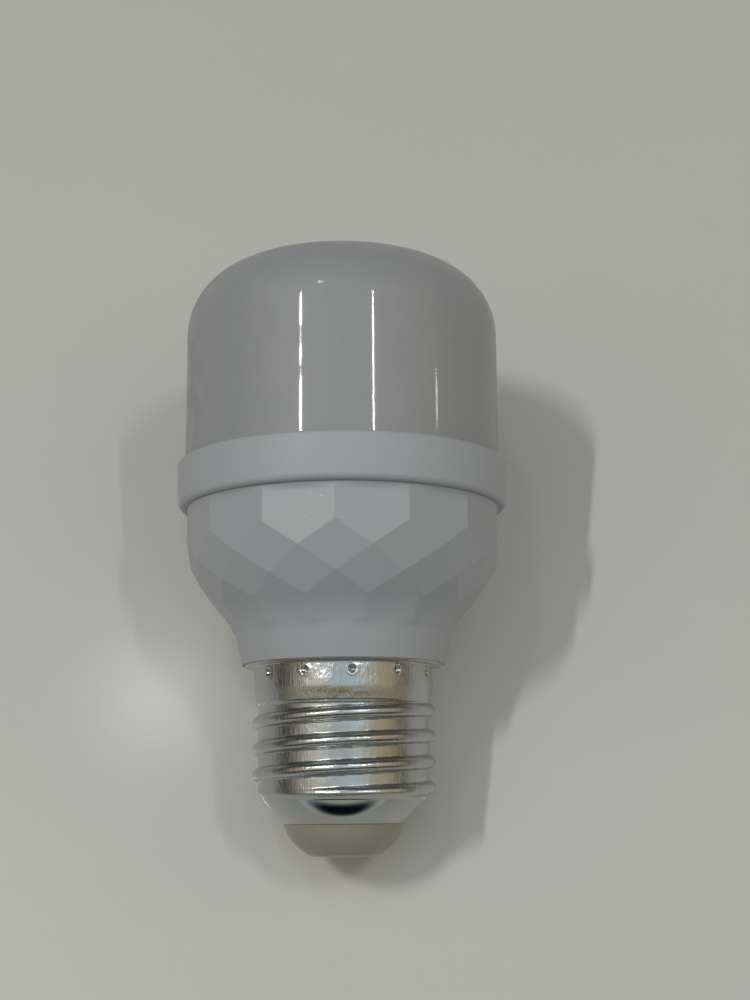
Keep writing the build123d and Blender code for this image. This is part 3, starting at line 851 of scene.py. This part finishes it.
@dataclass
class Housing:
    """The faceted white shell: shields, two rows of diamonds, arrow heads and a round neck."""

    facets: int = 14
    shoulder: float = 49.4
    shoulder_radius: float = 22.8
    facet_top: float = 48.3
    row1: Point = (22.85, 44.4)
    row2: Point = (22.35, 41.0)
    row3_height: float = 37.8
    row4_height: float = 35.0
    cove_end: Point = (15.6, 31.7)
    neck: tuple[Point, Point, Point] = ((14.65, 26.8), (15.3, 29.9), (15.7, 32.0))
    rim: float = 21.95
    snap: float = 22.3
    rim_top: float = 51.9
    spigot: float = 12.42
    spigot_rows: tuple[float, ...] = (26.3, 25.9, 25.5, 25.1, 24.7, 24.3, 22.1)
    lining: tuple[Point, ...] = (
        *((11.55, 21.5), (11.55, 14.8), (11.05, 14.0), (11.0, 14.2), (11.0, 27.2), (13.1, 28.6)),
        *((13.5, 31.6), (15.9, 35.0), (18.3, 37.8), (20.4, 41.3)),
    )
    rim_inside: float = 20.4
    rim_round: float = 0.2
    snap_heights: tuple[Point, ...] = ((0.0, 51.1), (1.0, 50.6), (1.0, 50.1), (0.0, 50.1))
    edge_round: float = 0.13
    cuts: int = 11
    level: float = 0.99
    neck_rows: int = 20
    neck_slope: float = 0.35
    neck_blend: float = 0.3
    neck_blend_run: float = 2.0
    staked: Point = (24.0, 26.5)
    stakes: StakeRing = StakeRing()
    finish: Finish = HousingFinish(
        "spark_grained_white", (0.43, 0.45, 0.482), 0.44, mottle=0.02, grain_depth=0.015
    )

    def __post_init__(self) -> None:
        """Works out the lower rows, which follow from flat facets."""
        flat = math.cos(math.pi / self.facets)
        (r1, z1), (r2, z2) = self.row1, self.row2
        slope = (r1 - r2 * flat) / (z1 - z2)
        row3 = r1 - slope * (z1 - self.row3_height)
        lower = (r2 - row3 * flat) / (z2 - self.row3_height)
        row4 = r2 - lower * (z2 - self.row4_height)
        top = (r1 * flat - (r2 - r1 * flat) / (z1 - z2) * (self.facet_top - z1)) / flat
        self.rows = [
            (top, self.facet_top, 0.0),
            (r1, z1, 0.0),
            (r2, z2, 0.5),
            (row3, self.row3_height, 0.0),
            (row4, self.row4_height, 0.5),
        ]
        self.mid4 = row4 * flat
        self.tilt4 = (row3 - self.mid4) / (self.row3_height - self.row4_height)

    def lower_radius(self, angle: float, height: float) -> float:
        """The outer radius below the diamonds: fourteen coved flats that run into the neck.

        Args:
            angle: Round the axis, in radians.
            height: Height on the axis.

        Returns:
            The radius.
        """
        drop = self.row4_height - height
        end_drop = self.row4_height - self.cove_end[1]
        bend = (self.cove_end[0] - self.mid4 + self.tilt4 * end_drop) / end_drop**2
        flat = self.mid4 - self.tilt4 * drop + bend * min(drop, end_drop) ** 2
        flat -= self.neck_slope * max(drop - end_drop, 0.0)
        step = TAU / self.facets
        across = (angle + step / 2) % step - step / 2
        flat /= math.cos(across)
        centre, radius = circle_through(*self.neck)
        neck = centre[0] + math.copysign(
            math.sqrt(max(radius**2 - (height - centre[1]) ** 2, 0.0)), self.neck[1][0] - centre[0]
        )
        blend = self.neck_blend * ease(drop, 0.0, self.neck_blend_run)
        return 0.5 * (flat + neck + math.sqrt((flat - neck) ** 2 + blend**2))

    def _facet_rows(self) -> bpy.types.Object:
        """Wraps the rows of facet corners in flat facets with softened edges.

        Returns:
            The piece, in edit mode, open at its top and bottom.
        """
        Bench.clear()
        step = TAU / self.facets
        radius, height, turn = self.rows[0]
        bpy.ops.mesh.primitive_circle_add(vertices=self.facets, radius=radius * MM)
        piece = bpy.context.object
        piece.name = piece.data.name = "housing_visual"
        bpy.ops.object.mode_set(mode="EDIT")
        bpy.ops.mesh.select_mode(type="VERT")
        bpy.ops.mesh.select_all(action="SELECT")
        bpy.ops.transform.translate(value=(0, 0, height * MM))
        for radius, height, turn in self.rows[1:]:
            bpy.ops.mesh.primitive_circle_add(
                vertices=self.facets,
                radius=radius * MM,
                location=(0, 0, height * MM),
                rotation=(0, 0, turn * step),
            )
        bpy.ops.mesh.select_all(action="SELECT")
        bpy.ops.mesh.convex_hull(join_triangles=False)
        bpy.ops.mesh.select_all(action="SELECT")
        bpy.ops.mesh.dissolve_limited(angle_limit=math.radians(1.0))
        self._select_faces(piece, lambda face: abs(face.normal.z) > self.level)
        bpy.ops.mesh.delete(type="FACE")
        self._select_edges(piece, lambda edge: len(edge.link_faces) == 2)
        bpy.ops.mesh.bevel(offset=self.edge_round * MM, segments=2, profile=0.5, clamp_overlap=False)
        long_edge = 2 * MM
        self._select_edges(piece, lambda edge: edge.is_boundary and edge.calc_length() > long_edge)
        bpy.ops.mesh.subdivide(number_cuts=self.cuts, ngon=True)
        return piece

    @staticmethod
    def _select_faces(piece: bpy.types.Object, chosen: Callable[[bmesh.types.BMFace], bool]) -> None:
        """Selects faces by a test.

        Args:
            piece: The piece in edit mode.
            chosen: Says whether a face is selected.
        """
        bpy.ops.mesh.select_mode(type="FACE")
        bpy.ops.mesh.select_all(action="DESELECT")
        mesh = bmesh.from_edit_mesh(piece.data)
        for face in mesh.faces:
            face.select_set(chosen(face))
        bmesh.update_edit_mesh(piece.data)

    @staticmethod
    def _select_edges(piece: bpy.types.Object, chosen: Callable[[bmesh.types.BMEdge], bool]) -> None:
        """Selects edges by a test.

        Args:
            piece: The piece in edit mode.
            chosen: Says whether an edge is selected.
        """
        bpy.ops.mesh.select_mode(type="EDGE")
        bpy.ops.mesh.select_all(action="DESELECT")
        mesh = bmesh.from_edit_mesh(piece.data)
        for edge in mesh.edges:
            edge.select_set(chosen(edge))
        bmesh.update_edit_mesh(piece.data)

    def _draw_ring(self, piece: bpy.types.Object, height: float, radius: Callable[[float], float]) -> None:
        """Extrudes the selected open ring and sets the new one round.

        Args:
            piece: The piece in edit mode, with one ring of edges selected.
            height: The new ring's height.
            radius: Gives the new ring's radius at an angle.
        """
        bpy.ops.mesh.extrude_region_move(TRANSFORM_OT_translate={"value": (0, 0, -0.1 * MM)})
        mesh = bmesh.from_edit_mesh(piece.data)
        for vertex in mesh.verts:
            if vertex.select:
                angle = math.atan2(vertex.co.x, -vertex.co.y)
                reach = radius(angle) * MM
                vertex.co = (reach * math.sin(angle), -reach * math.cos(angle), height * MM)
        bmesh.update_edit_mesh(piece.data)

    def inside_outline(self) -> list[Point]:
        """The outline from the neck's foot, up the inside and over the rim to the round shoulder.

        Returns:
            Points as (radius, height).
        """
        foot, foot_height = self.neck[0]
        outline = [(foot - 0.05, foot_height - 0.03), (foot - 0.2, foot_height - 0.05)]
        outline += [(self.spigot + 0.02, foot_height - 0.05)]
        outline += [(self.spigot, height) for height in self.spigot_rows]
        outline += [*self.lining, (self.rim_inside, self.rim_top - self.rim_round)]
        outline += [(self.rim_inside + self.rim_round, self.rim_top)]
        outline += [(self.rim - self.rim_round, self.rim_top), (self.rim, self.rim_top - self.rim_round)]
        bead = self.snap - self.rim
        outline += [(self.rim + bead * share, height) for share, height in self.snap_heights]
        outline += [(self.rim, self.shoulder), (self.shoulder_radius - 0.06, self.shoulder)]
        outline += [(self.shoulder_radius, self.shoulder - 0.06)]
        outline += [(self.shoulder_radius - 0.03, self.shoulder - 0.25)]
        return outline

    def stake_depth(self, angle: float, height: float) -> float:
        """How deep the cap's dimples press into the spigot.

        Args:
            angle: Round the axis, in radians.
            height: Height on the axis.

        Returns:
            The depth in millimetres.
        """
        low, high = self.staked
        return self.stakes.depth_at(angle, height) if low < height < high else 0.0

    def build(self) -> None:
        """Makes the housing as one closed shell and puts it in place."""
        piece = self._facet_rows()
        middle = self.row2[1] * MM
        self._select_edges(piece, lambda edge: edge.is_boundary and edge.verts[0].co.z < middle)
        for row in range(1, self.neck_rows + 1):
            height = self.row4_height + (self.neck[0][1] - self.row4_height) * row / self.neck_rows
            self._draw_ring(piece, height, lambda angle, z=height: self.lower_radius(angle, z))
        for radius, height in self.inside_outline():
            self._draw_ring(
                piece, height, lambda angle, r=radius, z=height: r - self.stake_depth(angle, z)
            )
        self._select_edges(piece, lambda edge: edge.is_boundary)
        bpy.ops.mesh.bridge_edge_loops()
        bpy.ops.mesh.select_all(action="SELECT")
        bpy.ops.mesh.remove_doubles(threshold=0.001 * MM)
        bpy.ops.mesh.normals_make_consistent(inside=False)
        bpy.ops.object.mode_set(mode="OBJECT")
        bpy.ops.object.shade_smooth_by_angle(angle=math.radians(40))
        weights = piece.modifiers.new("facet_weights", "WEIGHTED_NORMAL")
        weights.keep_sharp = True
        bpy.ops.object.modifier_apply(modifier=weights.name)
        Bench.hand_over(piece, self.finish, Slot.HOUSING, "housing")


# ---- Dome and collar --------------------------------------------------------------------------


@dataclass
class Dome:
    """The opal diffuser: a straight wall, a rounded corner and a shallow crown."""

    radius: float = 23.1
    wall: float = 1.3
    bottom: float = 52.3
    corner_height: float = 75.6
    corner: float = 10.25
    crown: float = 61.25
    finish: Finish = OpalFinish("opal_satin", (0.365, 0.375, 0.395), 0.55, mottle=0.02)

    def outline(self, inset: float) -> list[Point]:
        """One side of the wall, from its foot to the axis.

        Args:
            inset: How far the side is inside the outer one.

        Returns:
            Points as (radius, height).
        """
        centre_r = self.radius - self.corner
        drop = math.sqrt((self.crown - self.corner) ** 2 - centre_r**2)
        meet = math.degrees(math.atan2(drop, centre_r))
        foot = (self.radius - inset, self.bottom)
        side = [(foot[0], foot[1] + (self.corner_height - foot[1]) * step / 6) for step in range(6)]
        corner = arc((centre_r, self.corner_height), self.corner - inset, 0, meet, 26)
        crown = arc((0, self.corner_height - drop), self.crown - inset, meet, 90, 14)
        return side + corner + crown[1:]

    def build(self) -> None:
        """Makes the dome and puts it in place."""
        outer, inner = self.outline(0.0), self.outline(self.wall)
        outline = outer + inner[::-1] + outer[:1]
        top, under = len(outer) - 1, len(outer)
        log.info("dome wall from %.2f to %.2f at the crown", outline[under][1], outline[top][1])
        dome = Bench.turned("diffuser_visual", outline, 256, 40.0)
        Bench.hand_over(dome, self.finish, Slot.OPAL, "diffuser")


@dataclass
class Collar:
    """The smooth trim ring between the housing and the dome."""

    low: float = 24.0
    high: float = 24.25
    bottom: float = 49.4
    top: float = 56.0
    low_round: float = 0.9
    high_round: float = 0.55
    bore: float = 22.05
    groove: tuple[Point, ...] = ((22.05, 51.2), (22.4, 50.2), (22.4, 50.0), (22.05, 50.0))
    ledge: float = 52.0
    seat: float = 23.15
    seat_round: Point = (0.04, 0.05)
    finish: Finish = Finish(
        "satin_white", (0.455, 0.48, 0.515), 0.5, mottle=0.015, grain_per_mm=1.2, grain_depth=0.006
    )

    def build(self) -> None:
        """Makes the ring and puts it in place."""
        low, high = self.low_round, self.high_round
        lower = arc((self.low - low, self.bottom + low), low, -90, 0, 8)
        upper = arc((self.high - high, self.top - high), high, 0, 90, 8)
        out, down = self.seat_round
        lip = [(self.seat + out, self.top), (self.seat, self.top - down), (self.seat, self.ledge)]
        inside = [(self.bore, self.ledge), *self.groove]
        outline = lower + upper + lip + inside + [(self.bore, self.bottom), lower[0]]
        ring = Bench.turned("collar_visual", outline, 256, 40.0)
        Bench.hand_over(ring, self.finish, Slot.COLLAR, "collar_ring")


# ---- Inner pieces -----------------------------------------------------------------------------


@dataclass
class InnerPieces:
    """The light engine and electronics, which keep their CAD shapes and get their finishes."""

    def finishes(self) -> dict[Finish, list[str]]:
        """Says which finish each CAD node has.

        Returns:
            Node names by finish.
        """
        green = Finish("green_solder_mask", (0.02, 0.16, 0.06), 0.35, grain_per_mm=0.8)
        black = Finish("black_moulding", (0.02, 0.02, 0.022), 0.45)
        gilt = Finish("gilt_plating", (0.80, 0.62, 0.25), 0.28, 1.0)
        return {
            Finish("silicone_bead", (0.72, 0.72, 0.70), 0.5): ["diffuser_seal"],
            Finish("drawn_aluminium", (0.70, 0.71, 0.72), 0.38, 1.0): ["heatsink_cup"],
            Finish("grey_pad", (0.36, 0.38, 0.42), 0.8): ["thermal_pad"],
            Finish("white_solder_mask", (0.80, 0.80, 0.78), 0.35): ["led_board"],
            Finish("warm_phosphor", (0.88, 0.62, 0.16), 0.4): ["warm_white_leds"],
            Finish("cool_phosphor", (0.86, 0.80, 0.34), 0.4): ["cool_white_leds"],
            Finish("clear_lens", (0.70, 0.72, 0.74), 0.15): ["colour_leds"],
            Finish("screw_steel", (0.58, 0.58, 0.57), 0.32, 1.0): ["board_screws"],
            gilt: ["header_pins", "radio_pins"],
            black: ["board_socket", "driver_chip", "bridge_rectifier"],
            green: ["driver_board"],
            Finish("black_sleeve", (0.03, 0.03, 0.035), 0.3): ["input_capacitor"],
            Finish("blue_sleeve", (0.03, 0.10, 0.32), 0.3): ["output_capacitor"],
            Finish("grey_ferrite", (0.07, 0.07, 0.075), 0.6): ["transformer_core"],
            Finish("yellow_tape", (0.72, 0.52, 0.08), 0.3): ["transformer_winding"],
            Finish("dark_sleeve", (0.04, 0.05, 0.045), 0.4): ["line_choke"],
            Finish("blue_epoxy", (0.03, 0.16, 0.42), 0.3): ["surge_varistor"],
            Finish("resistor_lacquer", (0.34, 0.40, 0.30), 0.4): ["fusible_resistor"],
            Finish("dark_board", (0.02, 0.03, 0.05), 0.35): ["radio_board"],
            Finish("radio_chip_epoxy", (0.03, 0.03, 0.03), 0.5): ["radio_chip"],
            Finish("shield_tin", (0.70, 0.70, 0.69), 0.3, 1.0): ["radio_shield"],
            Finish("copper_trace", (0.72, 0.40, 0.22), 0.3, 1.0): ["antenna"],
            Finish("red_insulation", (0.50, 0.03, 0.03), 0.4): ["live_lead"],
            Finish("black_insulation", (0.02, 0.02, 0.02), 0.4): ["neutral_lead"],
        }

    def dress(self) -> None:
        """Gives every kept CAD node its finish."""
        for finish, names in self.finishes().items():
            material = finish.material()
            for name in names:
                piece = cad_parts[name]
                piece.data.materials.clear()
                piece.data.materials.append(material)
                log.info("%s: CAD shape, %s", name, finish.name)


# ---- Studio -----------------------------------------------------------------------------------


@dataclass(frozen=True)
class StripLamp:
    """A ceiling lamp: a narrow strip a long way off."""

    name: str
    direction: Direction
    power: float
    width: float = 0.04
    length: float = 0.26
    distance: float = 1.6
    colour: Colour = (1.0, 0.99, 0.96)

    def build(self, target: Vector) -> None:
        """Hangs the lamp, with its length along the bulb's axis.

        Args:
            target: What it lights, in metres.
        """
        Bench.clear()
        towards = Vector(self.direction).normalized()
        bpy.ops.object.light_add(type="AREA", location=target + towards * self.distance)
        lamp = bpy.context.object
        lamp.name = self.name
        across = Vector((0, 0, 1)).cross(towards).normalized()
        along = towards.cross(across)
        lamp.matrix_world = Matrix.Translation(target + towards * self.distance) @ Matrix(
            (across, along, towards)
        ).transposed().to_4x4()
        lamp.data.shape = "RECTANGLE"
        lamp.data.size = self.width
        lamp.data.size_y = self.length
        lamp.data.energy = self.power
        lamp.data.color = self.colour


@dataclass
class Studio:
    """The table that the bulb lies on, the lamps, the room's light and the camera."""

    lowest_crest: float = 10.3
    crest_radius: float = 13.1
    table_gap: float = 0.03
    facet_corner: Point = (22.85, 44.4)
    table_side: float = 2.4
    near_edge: float = 0.085
    camera_reach: float = 217.42
    camera_height: float = 8.52
    camera_turn: float = 2.7
    look_turn: float = -1.45
    look_up: float = 11.08
    roll: float = 0.487
    lens: float = 54.07
    clip_start: float = 0.01
    lit_height: float = 45.0
    lamps: tuple[StripLamp, ...] = (
        StripLamp("left_strip", (-0.475, -0.94, 0.31), 5.4, width=0.028),
        StripLamp("right_strip", (0.43, -0.94, 0.31), 2.1, width=0.024),
        StripLamp("side_strip", (0.95, -0.28, 0.27), 0.14, length=0.06),
        StripLamp("high_lamp", (-0.19, -0.80, 0.565), 0.5, width=0.1, length=0.1),
    )
    walls: tuple[tuple[float, Colour], ...] = (
        (0.00, (0.12, 0.12, 0.12)),
        (0.20, (0.05, 0.05, 0.05)),
        (0.28, (0.07, 0.065, 0.06)),
        (0.33, (0.36, 0.31, 0.25)),
        (0.39, (0.76, 0.70, 0.60)),
        (0.47, (0.50, 0.55, 0.57)),
        (0.52, (0.62, 0.76, 0.84)),
        (0.58, (0.56, 0.67, 0.74)),
        (0.605, (0.56, 0.49, 0.37)),
        (0.67, (0.54, 0.45, 0.32)),
        (0.71, (0.36, 0.29, 0.20)),
        (0.75, (0.10, 0.09, 0.075)),
        (1.00, (0.12, 0.12, 0.12)),
    )
    ceiling: Colour = (0.07, 0.075, 0.08)
    warm_wall: Colour = (0.44, 0.37, 0.25)
    skirting: Colour = (0.03, 0.03, 0.035)
    ground: Colour = (0.42, 0.465, 0.455)
    shade: Colour = (0.0, 0.004, 0.008)
    shade_middle: Point = (-0.02, -0.16)
    shade_size: Point = (0.47, 0.15)
    room_power: float = 1.0

    def table_plane(self) -> tuple[Vector, Vector]:
        """The plane that the lowest thread and a facet corner of the housing rest on.

        Returns:
            A point on it and its normal, towards the bulb.
        """
        low = Vector((0, self.crest_radius * MM, self.lowest_crest * MM))
        high = Vector((0, self.facet_corner[0] * MM, self.facet_corner[1] * MM))
        along = (high - low).normalized()
        normal = along.cross(Vector((1, 0, 0))).normalized()
        if normal.y > 0:
            normal = -normal
        return low - normal * self.table_gap * MM, normal

    def build_table(self) -> None:
        """Lays the table under the bulb."""
        point, normal = self.table_plane()
        Bench.clear()
        bpy.ops.mesh.primitive_plane_add(size=self.table_side)
        table = bpy.context.object
        table.name = "table"
        right = Vector((1, 0, 0))
        table.matrix_world = Matrix.Translation(point) @ Matrix(
            (right, normal.cross(right), normal)
        ).transposed().to_4x4()
        middle = normal.cross(right) * (self.table_side / 2 - self.near_edge)
        table.matrix_world = Matrix.Translation(middle) @ table.matrix_world
        bpy.ops.object.transform_apply(location=True, rotation=True, scale=True)
        finish = TableFinish("pale_lacquer", (0.665, 0.66, 0.645), 0.45, mottle=0.02)
        table.data.materials.append(finish.material())

    def build_lamps(self) -> None:
        """Hangs the ceiling strips."""
        target = Vector((0, 0, self.lit_height * MM))
        for lamp in self.lamps:
            lamp.build(target)

    def build_room(self) -> None:
        """Lights the room: cool in front, warm to both sides, and dim behind and above."""
        world = bpy.data.worlds.new("room")
        bpy.context.scene.world = world
        world.use_nodes = True
        painter = Painter(world.node_tree)
        direction = painter.out(painter.node("ShaderNodeTexCoord"), "Generated")
        parts = painter.node("ShaderNodeSeparateXYZ", {}, {0: direction})
        x, y, z = (painter.out(parts, name) for name in "XYZ")
        turn = x.math("ARCTAN2", x, 0 - y) / TAU + 0.5
        walls = painter.out(painter.node("ShaderNodeValToRGB", {"stops": self.walls}, {"Fac": turn}))
        ceiling = painter.mix(z.step(0.40, 0.75), walls, self.ceiling)
        warm = painter.mix(z.step(-0.08, -0.22) * y.step(0.2, -0.6), ceiling, self.warm_wall)
        below = painter.mix(z.step(-0.26, -0.42), warm, self.skirting)
        floor = painter.mix(z.step(-0.60, -0.80), below, self.ground)
        across = (x - self.shade_middle[0]) / self.shade_size[0]
        ahead = (y - self.shade_middle[1]) / self.shade_size[1]
        spot = (across * across + ahead * ahead).step(1.8, 0.35) * z.step(0.0, -0.5)
        room = painter.mix(spot, floor, self.shade)
        light = painter.node("ShaderNodeBackground", {}, {"Color": room, "Strength": self.room_power})
        painter.node("ShaderNodeOutputWorld", {}, {"Surface": painter.out(light)})

    def build_camera(self) -> None:
        """Sets the camera up."""
        turn, look, up_tilt = (math.radians(a) for a in (self.camera_turn, self.look_turn, self.look_up))
        place = Vector(
            (self.camera_reach * math.sin(turn), -self.camera_reach * math.cos(turn), self.camera_height)
        )
        forward = Vector(
            (math.sin(look) * math.cos(up_tilt), math.cos(look) * math.cos(up_tilt), math.sin(up_tilt))
        )
        right = forward.cross(Vector((0, 0, 1))).normalized()
        up = right.cross(forward)
        roll = math.radians(self.roll)
        rolled_right = right * math.cos(roll) - up * math.sin(roll)
        rolled_up = right * math.sin(roll) + up * math.cos(roll)
        Bench.clear()
        bpy.ops.object.camera_add()
        camera = bpy.context.object
        camera.matrix_world = Matrix.Translation(place * MM) @ Matrix(
            (rolled_right, rolled_up, -forward)
        ).transposed().to_4x4()
        camera.data.lens = self.lens
        camera.data.clip_start = self.clip_start
        bpy.context.scene.camera = camera

    def build(self) -> None:
        """Sets the whole studio up."""
        self.build_table()
        self.build_lamps()
        self.build_room()
        self.build_camera()
        bpy.context.scene.view_settings.view_transform = "Standard"
        log.info("studio ready")


def main() -> None:
    """Builds the bulb from its cap to its dome, then the studio."""
    logging.basicConfig(level=logging.INFO, format="%(name)s: %(message)s")
    cap_end = CapEnd()
    cap_end.build_contact()
    cap_end.build_insulator()
    ScrewCap().build()
    Housing().build()
    Collar().build()
    Dome().build()
    InnerPieces().dress()
    Studio().build()


if __name__ == "__main__":
    main()
